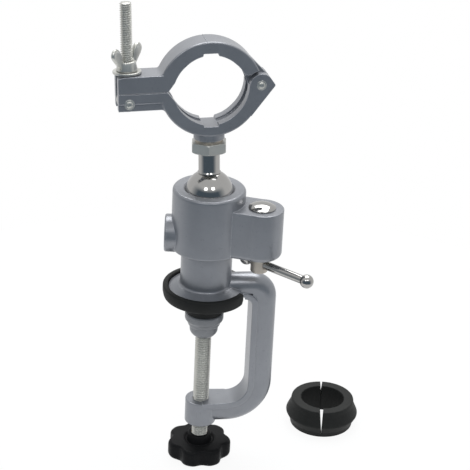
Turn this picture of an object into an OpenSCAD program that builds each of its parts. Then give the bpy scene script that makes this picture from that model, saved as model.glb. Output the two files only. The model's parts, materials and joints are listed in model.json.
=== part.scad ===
// Mini swivel vise: a table clamp, a ball swivel and a hinged ring that grips a small tool.
// Millimetres, +Z up. The origin is the centre of the rubber jaw face that rests on the table top.

/* [Clamp frame] */
// Distance from the post axis to the inner face of the spine
spine_in_x = 27; // [26.5:0.5:45]
// Height of the throat, from the table face down to the lower boss
throat_h = 69.3; // [60:0.1:100]
// Thickness of the flange
flange_t = 3.6; // [2.5:0.1:5]
// Width of the flange
flange_w = 17; // [16:0.5:26]
// How far the stiffening rib stands off the flange
rib_h = 11.5; // [9:0.5:14]
// Width of the round-backed rib
rib_w = 14.5; // [11:0.5:16]
// Radius of the inner corner at the bottom of the throat
low_corner_r = 11.4; // [8:0.1:14]
// Radius of the inner corner at the top of the throat
up_corner_r = 4.5; // [3:0.1:5]
// Outer radius of the rib at the top corner
rib_top_r = 15; // [14:0.5:18]
// Height of the flange underside over the table face
arm_z = 1; // [0.5:0.1:2]
// Diameter of the lower boss that holds the screw
boss_d = 18.6; // [16:0.1:21]
// Height of the lower boss
boss_h = 15.3; // [14:0.1:20]

/* [Post] */
// Diameter of the swivel post
post_d = 29.8; // [29:0.1:31]
// Height of the post top
post_top_z = 45; // [44:0.1:45.4]
// Height of the retaining groove centre
groove_z = 40; // [39:0.1:41]
// Height of the retaining groove
groove_h = 4; // [3:0.1:5]
// Depth of the retaining groove
groove_t = 3; // [2:0.1:4]
// Radius of the disc at the foot of the post
disc_r = 21.6; // [20.5:0.1:22.5]
// Height of the top edge of the disc
disc_edge_z = 6.5; // [5:0.1:7]
// Height of the disc where it meets the post
disc_root_z = 8.7; // [7.5:0.1:10]
// Radius of the fillet between the disc and the post
post_fillet_r = 1.6; // [0.8:0.1:2.5]

/* [Jaw pad] */
// Outer radius of the rubber cup
pad_r = 25; // [24.5:0.1:25.4]
// Height of the rim of the cup
pad_h = 8; // [6.5:0.1:9]
// Thickness of the floor of the cup
pad_floor = 2.5; // [2:0.1:3]
// Rounding of the lower edge of the cup
pad_edge_r = 1.8; // [1:0.1:2.2]
// Rounding of the rim of the cup
pad_rim_r = 1; // [0.6:0.1:1.4]
// Width of the window in the cup for the arm
pad_window_w = 27; // [24:0.5:30]

/* [Clamp screw] */
// Outside diameter of the clamp screw thread
screw_d = 9.525; // [8:0.005:10.5]
// Diameter of the foot plate
foot_d = 22.8; // [18:0.1:26]
// Gap between the jaw pad and the foot at rest
foot_gap = 2.2; // [2.1:0.1:6]
// Height of the black cap on the foot
foot_cap_h = 3.6; // [3:0.1:8]
// Thickness of the flange of the foot
foot_flange_t = 5.2; // [3:0.1:7]
// Diameter of the body of the foot
foot_body_d = 16.6; // [15.4:0.1:18]
// Length of the straight part of the foot body
foot_body_h = 8.1; // [6:0.1:10]
// Length of the rounded end of the foot body
foot_nose_h = 6.9; // [5:0.1:8]
// Diameter of the small end of the foot
foot_nose_d = 11; // [10.8:0.1:12.5]
// Gap between the lower boss and the collar of the knob at rest
knob_gap = 9.7; // [4:0.1:40]
// Largest radius of the knob
knob_r = 18.9; // [16:0.1:23]
// Height of the grip of the knob
knob_h = 10.8; // [9:0.1:14]
// Number of lobes on the knob
knob_lobes = 7; // [5:1:9]
// Depth of the hollows between the lobes
knob_hollow = 0.9; // [0.4:0.1:2]

/* [Swivel body] */
// Outside diameter of the swivel body
body_d = 42; // [40:0.5:46]
// Height of the bottom of the body
body_z = 32.2; // [31:0.1:33]
// Height of the rim of the body
rim_z = 69.5; // [69:0.1:70]
// Rounding of the outer rim
rim_edge_r = 1.9; // [1:0.1:2.5]
// Diameter of the mouth of the socket
mouth_d = 29.8; // [29:0.1:31]
// Land between the swivel body and the domed head beside it
side_land = 2.6; // [1.6:0.1:6]
// Diameter of the side boss
side_d = 25; // [22:0.5:28]
// Height of the top of the side boss
side_top_z = 61.8; // [60:0.1:64]
// Direction of the side boss round the swivel axis
side_turn = -22.6; // [-40:0.1:0]
// Diameter of the boss for the retaining plug
plug_boss_d = 22; // [18:0.5:24]
// How far the plug boss reaches from the swivel axis
plug_boss_r = 24.8; // [24:0.1:27]
// Direction of the plug boss round the swivel axis
plug_turn = 172; // [160:1:184]

/* [Ball] */
// Diameter of the ball
ball_d = 28; // [27:0.1:28.2]
// Height of the centre of the ball
ball_z = 66.2; // [66:0.1:66.6]
// How far the socket holds the ball above its centre
lip_h = 2.4; // [1.8:0.1:2.6]
// Diameter of the neck above the ball
neck_d = 12.2; // [11:0.1:14]
// Height of the lock nut seat over the centre of the ball
neck_h = 25.4; // [20:0.1:28]
// Thickness of the lock nut
nut_h = 6; // [5:0.1:10]
// Width across the flats of the lock nut
nut_af = 19; // [16:0.1:20]
// Turn of the lock nut round the neck
nut_turn = 19.5; // [0:0.5:60]
// Thickness of the spring washer
lock_washer_h = 1.8; // [1.5:0.1:2.6]
// Diameter of the stud thread in the ring
stud_d = 10; // [8:0.5:10]
// Turn of the neck round the swivel axis
head_pan = 22.4; // [-180:0.1:180]
// Lean of the neck at rest
head_lean = -5; // [-30:1:30]
// Turn of the ring round the neck
ring_turn = -19.9; // [-180:0.1:180]

/* [Ring clamp] */
// Height of the boss under the ring
ring_boss_h = 3.1; // [2:0.1:8]
// Radius of the bore of each half
bore_r = 21.5; // [20.5:0.1:21.8]
// How far the centre of each half lies past the split
bore_drop = 2; // [1:0.1:3]
// Radius of the bar that the closed ring grips
grip_r = 20; // [19.9:0.05:20.8]
// Wall of the lower half
low_wall = 7.3; // [6.8:0.1:9]
// Wall of the upper half
up_wall = 8.1; // [7:0.1:9]
// Reach of the relief between the bore and the lugs
relief_w = 2.8; // [1:0.1:4]
// Height of the relief on each half
relief_h = 5.5; // [3:0.1:7]
// Depth of the ring along its bore
ring_w = 18; // [15:0.5:22]
// Rounding of the outer edges of the ring
ring_edge_r = 1; // [0.5:0.1:2]
// Radius of the groove round the bore
groove_r = 23; // [22:0.1:23.5]
// Width of the groove round the bore
groove_w = 6; // [4:0.1:8]
// Distance from the ring axis to the end of the lugs
lug_x = 51.5; // [50:0.1:56]
// Height of each lug
lug_h = 9.4; // [8.5:0.1:10]
// Height of the lower lug
low_lug_h = 9.8; // [9:0.1:11]
// Distance from the ring axis to the swing bolt
bolt_x = 45.5; // [44.5:0.1:46.5]
// Width of the slots in the lugs
slot_w = 6.8; // [6.7:0.1:8]
// Distance from the ring axis to the closed end of the slots
slot_x = 37.5; // [36:0.1:38.5]
// Distance from the ring axis to the hinge pin
hinge_x = 28.3; // [28:0.1:28.6]
// Height of the hinge pin over the split
hinge_z = 1.5; // [1:0.1:2]
// Diameter of the hinge pin
hinge_pin_d = 4.8; // [4:0.1:5]
// Radius of the hinge ears round the pin
ear_r = 6.5; // [6:0.1:7]
// Width of the hinge tongue
tongue_w = 6.5; // [5:0.1:8]

/* [Swing bolt] */
// Outside diameter of the swing bolt thread
bolt_d = 6.35; // [5:0.05:6.4]
// Diameter of the eye of the bolt
eye_d = 12; // [11:0.1:12.6]
// Diameter of the cross pin of the bolt
bolt_pin_d = 5; // [4:0.1:6]
// Depth of the cross pin under the split
bolt_pin_z = 5.7; // [5.5:0.1:6]
// Length of the bolt from its cross pin
bolt_l = 55.1; // [50:0.1:60]
// Diameter of the flat washer
washer_d = 16; // [14:0.1:17]
// Thickness of the flat washer
washer_h = 1.4; // [1:0.1:2]
// Height of the hub of the wing nut
wing_hub_h = 5.5; // [5:0.1:9]
// Diameter of the foot of the hub of the wing nut
wing_hub_d = 12; // [10:0.1:13]
// Span over the tips of the wings
wing_span = 26; // [22:0.5:28]
// Height of the tips of the wings
wing_h = 14; // [12:0.5:18]
// Direction of the wings round the bolt
wing_turn = 45; // [0:1:180]

/* [Lock lever] */
// Diameter of the lock shaft
shaft_d = 10; // [9:0.1:11]
// Height of the lower end of the lock shaft
shaft_z = 22; // [21:0.1:23]
// Offset of the cam on the lock shaft
cam_offset = 0.8; // [0.5:0.05:1]
// Diameter of the domed head
dome_d = 15.6; // [14:0.1:18]
// Height of the domed head
dome_h = 3.1; // [2.5:0.1:4]
// Diameter of the lever bar
lever_d = 5; // [4:0.1:5.5]
// Height of the lever bar
lever_z = 27; // [26.6:0.1:27.4]
// Reach of the lever from the lock shaft to its outer ball
lever_reach = 34; // [25:0.5:36]
// Diameter of the balls on the lever
lever_ball_d = 8; // [7:0.1:8.4]
// Direction of the lever round the lock shaft
lever_turn = -46.5; // [-50:0.5:-40]
// Diameter of the wedge plunger
plunger_d = 4.4; // [4:0.1:4.4]

/* [Reducing bush] */
// Radius of the bush at its end faces
bush_end_r = 18.75; // [17:0.05:20]
// Radius of the bush beside its rib
bush_band_r = 19.25; // [18:0.05:20.5]
// Radius of the bush over its rib
bush_rib_r = 21.85; // [21:0.05:22.8]
// Radius of the hole of the bush
bush_bore_r = 13; // [10:0.1:15]
// Height of the bush
bush_h = 17; // [15:0.5:17.8]
// Height of the plain band at each end
bush_band_h = 3; // [2:0.1:4]
// Width of the slits at the top face
slit_w = 2; // [1:0.1:3]
// How far the bush lies to the right of the post axis
bush_x = 81.8; // [70:0.1:120]
// How far the bush lies behind the post axis
bush_y = 31; // [0:0.1:60]
// Turn of the slits
bush_turn = -12.5; // [-90:0.5:90]

/* [Clearances] */
// Running clearance on radius
run_gap = 0.05; // [0.02:0.01:0.08]
// Clearance on radius between the body and the post
post_gap = 0.1; // [0.05:0.01:0.1]
// Gap between faces that only pass each other
face_gap = 0.15; // [0.1:0.05:0.2]
// Gap between the two halves of the ring
split_gap = 0.3; // [0.2:0.05:0.5]
// Gap between soft and hard faces on different bodies
soft_gap = 0.3; // [0.2:0.05:0.4]

/* [Hidden] */
$fn = 96;
cut = 1;                 // overrun of cuts
steps = 8;               // points on a small arc
edge = 0.6;              // small rounding on castings and turned ends

// Clamp frame
low_cx = spine_in_x - low_corner_r;
low_cz = -throat_h + low_corner_r + edge / 2;
up_in_x = spine_in_x - up_corner_r;
up_in_z = arm_z - up_corner_r;
rib_x = spine_in_x + flange_t + rib_h;
rib_up_cx = rib_x - rib_top_r;
arm_top_z = arm_z + flange_t;
rib_up_z = 14.5;         // top of the rib beside the post
rib_up_cz = rib_up_z - rib_top_r;
rib_root = spine_in_x + flange_t / 2 - rib_up_cx;       // the rib starts inside the flange
rib_arm_root = arm_top_z - edge / 2 - rib_up_cz;
rib_low_r = low_corner_r + flange_t + rib_h;
boss_z = -throat_h - boss_h;
pad_in_r = disc_r + soft_gap;
disc_z = pad_floor + run_gap;
post_chamfer = 1;        // chamfer on top of the post

// Foot and screw
foot_top_z = -foot_gap;
foot_plate_z = foot_top_z - foot_cap_h;
foot_body_z = foot_plate_z - foot_flange_t;
foot_nose_z = foot_body_z - foot_body_h;
foot_end_z = foot_nose_z - foot_nose_h;
spigot_d = 14;           // spigot of the foot inside its cap
spigot_h = 2.4;
screw_end_z = foot_plate_z - foot_flange_t - 2 * edge;
clip_drop = 4;           // snap ring under the end of the screw
clip_h = 1.2;
clip_bite = 1;           // depth of its groove in the screw
clip_lap = 1.5;          // reach of the snap ring past the screw
clip_z = screw_end_z - clip_drop;
clip_in_d = screw_d - 2 * clip_bite;
clip_out_d = screw_d + 2 * clip_lap;
screw_r = screw_d / 2;
hub_d = 15;              // collar on top of the knob
hub_h = 3.2;
insert_d = 13;           // metal insert moulded into the knob
insert_h = 11;
knob_top_z = boss_z - knob_gap - hub_h;
knob_z = knob_top_z - knob_h;
knob_edge_r = 2;

// Swivel body
body_bore_r = post_d / 2 + post_gap;
socket_r = ball_d / 2 + run_gap;
body_low_z = min(body_z, groove_z - plug_boss_d / 2);
side_r = (body_d + dome_d) / 2 + side_land;
socket_step = 3.2;       // height of the plain bore under the centre of the ball
socket_step_z = ball_z - socket_step;
body_edge_r = 1.5;
side_edge_r = 3;         // rounding under the side boss
web_half = side_d / 2 - edge / 2;
shaft_bore_r = shaft_d / 2 + run_gap;
plunger_z = 47.5;        // height of the plunger axis
plug_d = 14;             // retaining plug
plug_seat_r = 18.5;      // floor of the plug hole, from the swivel axis
plug_nose_d = groove_h - 2 * face_gap;
plug_nose_r = post_d / 2 - groove_t + 2 * soft_gap;

// Ball, seat and stud
ball_r = ball_d / 2;
seat_r = post_d / 2;
seat_z = plunger_z + plunger_d / 2 + 2 * soft_gap;
seat_h = 8.5;
seat_hole_d = 7;
stud_cover = 1.5;        // casting between the stud and the key notch
nut_z = neck_h;
lock_washer_z = nut_z + nut_h;
ring_boss_z = lock_washer_z + lock_washer_h;
ring_boss_d = 17.5;
lock_washer_d = 15.5;
washer_slit = 1.6;       // split of the spring washer
washer_slant = 20;

// Ring clamp, measured from the split plane and the ring axis
ring_r = bore_r + low_wall;
up_ring_r = bore_r + up_wall;
ring_h = ring_boss_z + ring_boss_h + ring_r - bore_drop;
half_w = ring_w / 2;
lug_top = split_gap + lug_h;
lug_low = -low_lug_h;
step_z = -5.6;           // ledge along the lower lug
step_t = 0.8;
lug_fillet_r = 3;
ear_gap = 0.2;           // slack between the ears and the upper half
ear_toe = 7.7;           // reach of the ears past the pin
ear_toe_r = 1.2;         // rounding of the end of the ears
ear_slack = 0.8;
ear_clear_r = ear_toe + ear_slack;
ear_back = 175;          // where the ears leave the ring, round the pin
tongue_back = 132;       // the same for the tongue
tongue_r = 6.3;
ear_inner = tongue_w / 2 + face_gap;
hinge = [hinge_x, hinge_z];
low_c = [0, bore_drop];
up_c = [0, -bore_drop];
key_w = 8;               // key notch at its floor
key_mouth = 9.6;         // key notch at the bore
key_t = 1.5;
stud_end_h = ring_h + bore_drop - bore_r - key_t - stud_cover;

// Swing bolt, washer and wing nut, measured from the cross pin
eye_w = slot_w - 4 * face_gap;
washer_lift = bolt_pin_z + lug_top + soft_gap;
relief_r = washer_lift - soft_gap / 4;
nut_lift = washer_lift + washer_h + face_gap;
wing_t = 2.6;
wing_lobe_r = 3.4;
wing_foot = 0.9;         // foot of the wings over the foot of the hub

// Lock shaft
shaft_top_z = side_top_z;
cam_slack = 0.5;         // how far the cam stays inside the shaft
cam_d = shaft_d - 2 * (cam_offset + cam_slack);
cam_half_h = 3.4;
cam_z0 = plunger_z - cam_half_h;
cam_z1 = plunger_z + cam_half_h;
cam_turn = 45;           // where the cam points at rest, past square to the plunger
plunger_nose_r = 3.6;    // start of the plunger from the swivel axis
clip_ring_z = 30.4;      // snap ring under the side boss
clip_ring_h = 1.2;
clip_ring_d = 14;
clip_root_d = 8.4;
inner_reach = shaft_d / 2 + lever_ball_d / 2 + soft_gap;
side_x = side_r * cos(side_turn);
side_y = side_r * sin(side_turn);

bush_z = knob_z - soft_gap;

casting = [0.50, 0.52, 0.55];
bright = [0.78, 0.78, 0.79];
rubber = [0.10, 0.10, 0.11];

// Points on an arc about c, from angle a0 to angle a1
function arc(c, r, a0, a1) = [for (i = [0:steps]) let (a = a0 + (a1 - a0) * i / steps)
  c + r * [cos(a), sin(a)]];
// Direction from their centres to where one straight line touches two circles, left of the way for s = 1
function touch_angle(c1, r1, c2, r2, s) = let (d = c2 - c1)
  atan2(d[1], d[0]) + s * acos((r1 - r2) / norm(d));
function at_angle(c, r, a) = c + r * [cos(a), sin(a)];

// Round bar between two heights
module bar(d, z0, z1) {
  translate([0, 0, z0]) cylinder(d = d, h = z1 - z0);
}
// Half outline of a turned bar with rounded edges, for a revolve
module turned_outline(r, h, low_r, top_r) {
  square([r - low_r, h / 2]);
  translate([0, h / 2]) square([r - top_r, h / 2]);
  translate([0, low_r]) square([r, h - low_r - top_r]);
  translate([r - low_r, low_r]) circle(r = low_r);
  translate([r - top_r, h - top_r]) circle(r = top_r);
}
// Turned bar with rounded edges
module turned(r, z0, z1, low_r, top_r) {
  translate([0, 0, z0]) rotate_extrude() turned_outline(r, z1 - z0, low_r, top_r);
}
// Flat outline in X and Z, drawn out along Y about the middle
module slab(w) {
  translate([0, w / 2, 0]) rotate([90, 0, 0]) linear_extrude(w) children();
}
// Round bar along Y, at p in X and Z
module cross_bar(p, d, w) {
  translate([p[0], w / 2, p[1]]) rotate([90, 0, 0]) cylinder(d = d, h = w);
}
// Head: everything above the ball centre, panned and leaned
module head_place() {
  translate([0, 0, ball_z]) rotate([0, 0, head_pan]) rotate([head_lean, 0, 0])
    rotate([0, 0, ring_turn]) children();
}
module ring_place() {
  head_place() translate([0, 0, ring_h]) children();
}
module side_place() {
  translate([side_x, side_y, 0]) children();
}

// Section of the frame, with its distance from the sweep centre along x
module flange_section(root) {
  translate([root, edge - flange_w / 2]) square([flange_t, flange_w - 2 * edge]);
  translate([root + edge, -flange_w / 2]) square([flange_t - 2 * edge, flange_w]);
  for (x = [edge, flange_t - edge], y = [edge - flange_w / 2, flange_w / 2 - edge])
    translate([root + x, y]) circle(r = edge, $fn = 24);
}
module rib_section(root, tip) {
  translate([root, -rib_w / 2]) square([tip - rib_w / 2 - root, rib_w]);
  intersection() {
    translate([tip - rib_w / 2, 0]) circle(d = rib_w);
    translate([root, -rib_w / 2]) square([tip - root, rib_w]);
  }
}
module frame_sweep() {
  // spine
  translate([0, 0, low_cz]) linear_extrude(up_in_z - low_cz) flange_section(spine_in_x);
  translate([0, 0, low_cz]) linear_extrude(rib_up_cz - low_cz)
    rib_section(spine_in_x + flange_t / 2, rib_x);
  // lower corner and arm
  translate([low_cx, 0, low_cz]) rotate([90, 0, 0]) rotate([0, 0, -90]) rotate_extrude(angle = 90) {
    flange_section(low_corner_r);
    rib_section(low_corner_r + flange_t / 2, rib_low_r);
  }
  translate([0, 0, low_cz]) rotate([0, 90, 0]) linear_extrude(low_cx)
    rib_section(low_corner_r + flange_t / 2, rib_low_r);
  translate([0, 0, low_cz - low_corner_r - flange_t]) linear_extrude(flange_t)
    polygon([[0, -boss_d / 2], [low_cx, -flange_w / 2], [low_cx, flange_w / 2], [0, boss_d / 2]]);
  // upper corner and arm
  translate([up_in_x, 0, up_in_z]) rotate([90, 0, 0]) rotate_extrude(angle = 90)
    flange_section(up_corner_r);
  translate([rib_up_cx, 0, rib_up_cz]) rotate([90, 0, 0]) rotate_extrude(angle = 90)
    rib_section(rib_root, rib_top_r);
  translate([rib_up_cx, 0, rib_up_cz]) rotate([0, -90, 0]) linear_extrude(rib_up_cx)
    rib_section(rib_arm_root, rib_top_r);
  translate([0, -flange_w / 2, disc_z]) cube([up_in_x, flange_w, arm_top_z - disc_z]);
}
module post_outline() {
  r = post_d / 2;
  polygon(concat(
    [[0, disc_z], [disc_r, disc_z], [disc_r, disc_edge_z - edge / 2],
     [disc_r - edge / 2, disc_edge_z]],
    arc([r + post_fillet_r, disc_root_z + post_fillet_r], post_fillet_r, -90, -180),
    [[r, groove_z - groove_h / 2], [r - groove_t, groove_z - groove_h / 2],
     [r - groove_t, groove_z + groove_h / 2], [r, groove_z + groove_h / 2],
     [r, post_top_z - post_chamfer], [r - post_chamfer, post_top_z], [0, post_top_z]]));
}
module clamp_frame() {
  color(casting) difference() {
    union() {
      frame_sweep();
      rotate_extrude() post_outline();
      turned(boss_d / 2, boss_z, -throat_h, edge, edge);
    }
    bar(screw_d + 2 * run_gap, boss_z - cut, -throat_h + cut);
  }
}

module jaw_pad() {
  color(rubber) difference() {
    turned(pad_r, 0, pad_h, pad_edge_r, pad_rim_r);
    bar(2 * pad_in_r, pad_floor, pad_h + cut);
    // window for the arm, above and beside the floor
    translate([disc_r / 2, -pad_window_w / 2, pad_floor]) cube([pad_r, pad_window_w, pad_h]);
    translate([up_in_x - soft_gap, -pad_window_w / 2, -cut]) cube([pad_r, pad_window_w, pad_h]);
  }
}

module screw_foot() {
  nose_drop = (foot_body_d - foot_nose_d) / 2;
  color(bright) difference() {
    union() {
      bar(spigot_d, foot_plate_z, foot_plate_z + spigot_h);
      turned(foot_d / 2, foot_body_z, foot_plate_z, foot_flange_t / 3, edge / 2);
      bar(foot_body_d, foot_nose_z, foot_body_z);
      // rounded nose, a quarter of an ellipse in section
      rotate_extrude() polygon(concat([[0, foot_nose_z], [foot_body_d / 2, foot_nose_z]],
        [for (i = [1:steps]) let (a = 90 * i / steps)
          [foot_nose_d / 2 + nose_drop * cos(a), foot_nose_z - foot_nose_h * sin(a)]],
        [[0, foot_end_z]]));
    }
    bar(screw_d + 2 * run_gap, foot_end_z - cut, screw_end_z + soft_gap);
    bar(clip_out_d, clip_z, clip_z + clip_h);
  }
}
module foot_cap() {
  color(rubber) difference() {
    turned(foot_d / 2, foot_plate_z, foot_top_z, edge, 2 * edge);
    bar(spigot_d, foot_plate_z - cut, foot_plate_z + spigot_h);
  }
}
module foot_clip() {
  color(bright) difference() {
    bar(clip_out_d, clip_z, clip_z + clip_h);
    bar(clip_in_d + 2 * run_gap, clip_z - cut, clip_z + clip_h + cut);
    translate([0, -clip_in_d / 4, clip_z - cut]) cube([clip_out_d, clip_in_d / 2, clip_h + 2 * cut]);
  }
}
module clamp_screw() {
  color(bright) difference() {
    translate([0, 0, knob_z + edge]) cylinder(d = screw_d, h = screw_end_z - knob_z - edge);
    difference() {
      bar(screw_d + cut, clip_z - face_gap, clip_z + clip_h + face_gap);
      bar(clip_in_d, clip_z - cut, clip_z + clip_h + cut);
    }
  }
}
module knob() {
  color(rubber) difference() {
    union() {
      intersection() {
        turned(knob_r, knob_z, knob_top_z, knob_edge_r, knob_edge_r);
        translate([0, 0, knob_z]) linear_extrude(knob_h) polygon([for (a = [0:2:358])
          let (r = knob_r - knob_hollow * (1 + cos(knob_lobes * (a + 90))) / 2) r * [cos(a), sin(a)]]);
      }
      turned(hub_d / 2, knob_top_z - knob_edge_r, knob_top_z + hub_h, edge, edge);
    }
    bar(insert_d, knob_top_z + hub_h - insert_h, knob_top_z + hub_h + cut);
    bar(screw_d, knob_z - cut, knob_top_z);
  }
}
module knob_insert() {
  z1 = knob_top_z + hub_h;
  color(bright) difference() {
    bar(insert_d, z1 - insert_h, z1);
    bar(screw_d, z1 - insert_h - cut, z1 + cut);
  }
}

module body_shell() {
  turned(body_d / 2, body_z, rim_z, body_edge_r, rim_edge_r);
  rotate([0, 0, side_turn]) {
    translate([side_r, 0, 0]) turned(side_d / 2, body_z, side_top_z, side_edge_r, edge);
    // flat-sided web from the body out to the side boss
    translate([body_bore_r, 0, 0]) rotate([90, 0, 90]) linear_extrude(side_r - body_bore_r)
      polygon(concat(
        arc([side_edge_r - web_half, body_z + side_edge_r], side_edge_r, 180, 270),
        arc([web_half - side_edge_r, body_z + side_edge_r], side_edge_r, 270, 360),
        arc([web_half - edge, side_top_z - edge], edge, 0, 90),
        arc([edge - web_half, side_top_z - edge], edge, 90, 180)));
  }
  rotate([0, 0, plug_turn]) translate([0, 0, groove_z]) rotate([0, 90, 0])
    turned(plug_boss_d / 2, 0, plug_boss_r, edge, 2 * edge);
}
module body_cavity() {
  rotate_extrude() polygon(concat(
    [[0, body_low_z - cut], [body_bore_r + edge, body_low_z - cut], [body_bore_r + edge, body_z],
     [body_bore_r, body_z + edge], [body_bore_r, socket_step_z], [socket_r, socket_step_z]],
    arc([0, ball_z], socket_r, 0, asin(lip_h / socket_r)),
    [[mouth_d / 2, rim_z], [mouth_d / 2, rim_z + cut], [0, rim_z + cut]]));
}
module swivel_body() {
  color(casting) difference() {
    body_shell();
    body_cavity();
    rotate([0, 0, side_turn]) {
      translate([side_r, 0, 0]) bar(2 * shaft_bore_r, body_z - cut, side_top_z + cut);
      translate([0, 0, plunger_z]) rotate([0, 90, 0]) cylinder(d = plunger_d + 2 * run_gap, h = side_r);
    }
    rotate([0, 0, plug_turn]) translate([0, 0, groove_z]) rotate([0, 90, 0]) {
      translate([0, 0, plug_seat_r]) cylinder(d = plug_d, h = plug_boss_r);
      cylinder(d = plug_nose_d, h = plug_boss_r);
    }
  }
}
module retaining_plug() {
  color(bright) rotate([0, 0, plug_turn]) translate([0, 0, groove_z]) rotate([0, 90, 0]) difference() {
    union() {
      translate([0, 0, plug_nose_r]) cylinder(d = plug_nose_d, h = plug_seat_r - plug_nose_r + edge);
      translate([0, 0, plug_seat_r]) cylinder(d = plug_d, h = plug_boss_r - plug_seat_r - edge);
    }
    // six-sided key socket
    translate([0, 0, plug_boss_r - 4 * edge]) cylinder(d = plug_d / 2, h = plug_boss_r, $fn = 6);
  }
}

module ball_seat() {
  color(bright) difference() {
    turned(seat_r, seat_z, seat_z + seat_h, edge, edge);
    translate([0, 0, ball_z]) sphere(r = socket_r);
    bar(seat_hole_d, seat_z - cut, seat_z + seat_h);
  }
}
module ball_stud() {
  color(bright) head_place() {
    sphere(r = ball_r);
    bar(neck_d, 0, neck_h);
    translate([0, 0, ball_r - 2 * edge]) cylinder(d1 = neck_d + 2 * edge, d2 = neck_d, h = 2 * edge);
    bar(stud_d, neck_h - cut, stud_end_h);
  }
}
module lock_nut() {
  across = nut_af / cos(30);
  color(bright) head_place() rotate([0, 0, nut_turn]) difference() {
    intersection() {
      translate([0, 0, nut_z]) cylinder(d = across, h = nut_h, $fn = 6);
      turned(across / 2, nut_z, nut_z + nut_h, 2 * edge, 2 * edge);
    }
    bar(stud_d, nut_z - cut, nut_z + nut_h + cut);
  }
}
module lock_washer() {
  z1 = lock_washer_z + lock_washer_h;
  color(casting) head_place() difference() {
    bar(lock_washer_d, lock_washer_z, z1);
    bar(stud_d + 2 * run_gap, lock_washer_z - cut, z1 + cut);
    // slanted split
    translate([0, -washer_slit / 2, lock_washer_z - cut]) rotate([-washer_slant, 0, 0])
      cube([lock_washer_d, washer_slit, lock_washer_h + 3 * cut]);
  }
}
module wedge_plunger() {
  heel = side_r - cam_d / 2 + cam_offset * sin(cam_turn) - face_gap;
  color(bright) rotate([0, 0, side_turn]) translate([0, 0, plunger_z]) rotate([0, 90, 0]) {
    translate([0, 0, plunger_nose_r + plunger_d])
      cylinder(d = plunger_d, h = heel - plunger_nose_r - plunger_d);
    translate([0, 0, plunger_nose_r]) cylinder(d1 = plunger_d / 4, d2 = plunger_d, h = plunger_d);
  }
}

module lock_shaft() {
  turn = side_turn - cam_turn;
  color(casting) side_place() difference() {
    union() {
      bar(shaft_d, cam_z1, shaft_top_z);
      rotate([0, 0, turn]) translate([cam_offset, 0, 0]) bar(cam_d, cam_z0 - edge, cam_z1 + edge);
      turned(shaft_d / 2, shaft_z, cam_z0, edge, edge / 2);
    }
    // groove for the snap ring
    difference() {
      bar(shaft_d + cut, clip_ring_z - run_gap, clip_ring_z + clip_ring_h + run_gap);
      bar(clip_root_d, clip_ring_z - cut, clip_ring_z + clip_ring_h + cut);
    }
    // cross hole for the lever
    translate([0, 0, lever_z]) rotate([0, 0, lever_turn]) rotate([0, 90, 0])
      cylinder(d = lever_d + 2 * run_gap, h = 2 * shaft_d, center = true);
  }
}
module shaft_dome() {
  // cap of a sphere through the edge of the head, on a short rim
  rim = dome_h / 4;
  rise = dome_h - rim;
  cap_r = (dome_d * dome_d / 4 + rise * rise) / (2 * rise);
  color(bright) side_place() translate([0, 0, side_top_z]) intersection() {
    cylinder(d = dome_d, h = dome_h);
    translate([0, 0, dome_h - cap_r]) sphere(r = cap_r);
  }
}
module shaft_clip() {
  z1 = clip_ring_z + clip_ring_h;
  color(bright) side_place() difference() {
    bar(clip_ring_d, clip_ring_z, z1);
    bar(clip_root_d + 2 * run_gap, clip_ring_z - cut, z1 + cut);
    rotate([0, 0, 90]) translate([0, -clip_root_d / 3, clip_ring_z - cut])
      cube([clip_ring_d, 2 * clip_root_d / 3, clip_ring_h + 2 * cut]);
  }
}
module lever_bar() {
  color(bright) side_place() translate([0, 0, lever_z]) rotate([0, 0, lever_turn])
    rotate([0, 90, 0]) translate([0, 0, -inner_reach]) cylinder(d = lever_d, h = lever_reach + inner_reach);
}
module lever_balls() {
  color(bright) side_place() translate([0, 0, lever_z]) rotate([0, 0, lever_turn])
    for (x = [-inner_reach, lever_reach]) difference() {
      translate([x, 0, 0]) sphere(d = lever_ball_d);
      translate([-inner_reach, 0, 0]) rotate([0, 90, 0])
        cylinder(d = lever_d, h = lever_reach + inner_reach);
    }
}

// Full ring of one half, with bevelled edges, before it is cut at the split
module ring_blank(c, r) {
  translate([c[0], 0, c[1]]) rotate([90, 0, 0]) turned(r, -half_w, half_w, ring_edge_r, ring_edge_r);
}
// Bore, grip, groove round the bore, relief and key notch of one half; s is 1 for the upper half
module ring_bore(c, s) {
  cross_bar(c, 2 * bore_r, ring_w + 2 * cut);
  cross_bar([0, 0], 2 * grip_r, ring_w + 2 * cut);
  cross_bar(c, 2 * groove_r, groove_w);
  far = c[1] + s * (bore_r + key_t);
  near = c[1] + s * (bore_r - cut);
  slab(ring_w + 2 * cut) polygon([[-key_w / 2, far], [key_w / 2, far],
    [key_mouth / 2, near], [-key_mouth / 2, near]]);
  relief_x = -sqrt(pow(bore_r, 2) - pow(bore_drop, 2)) - relief_w;
  top_x = -sqrt(pow(bore_r, 2) - pow(relief_h + bore_drop, 2));
  slab(ring_w + 2 * cut) polygon([[0, -s * cut], [relief_x, -s * cut], [relief_x, 0],
    [top_x, s * relief_h], [0, s * relief_h]]);
}
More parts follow.
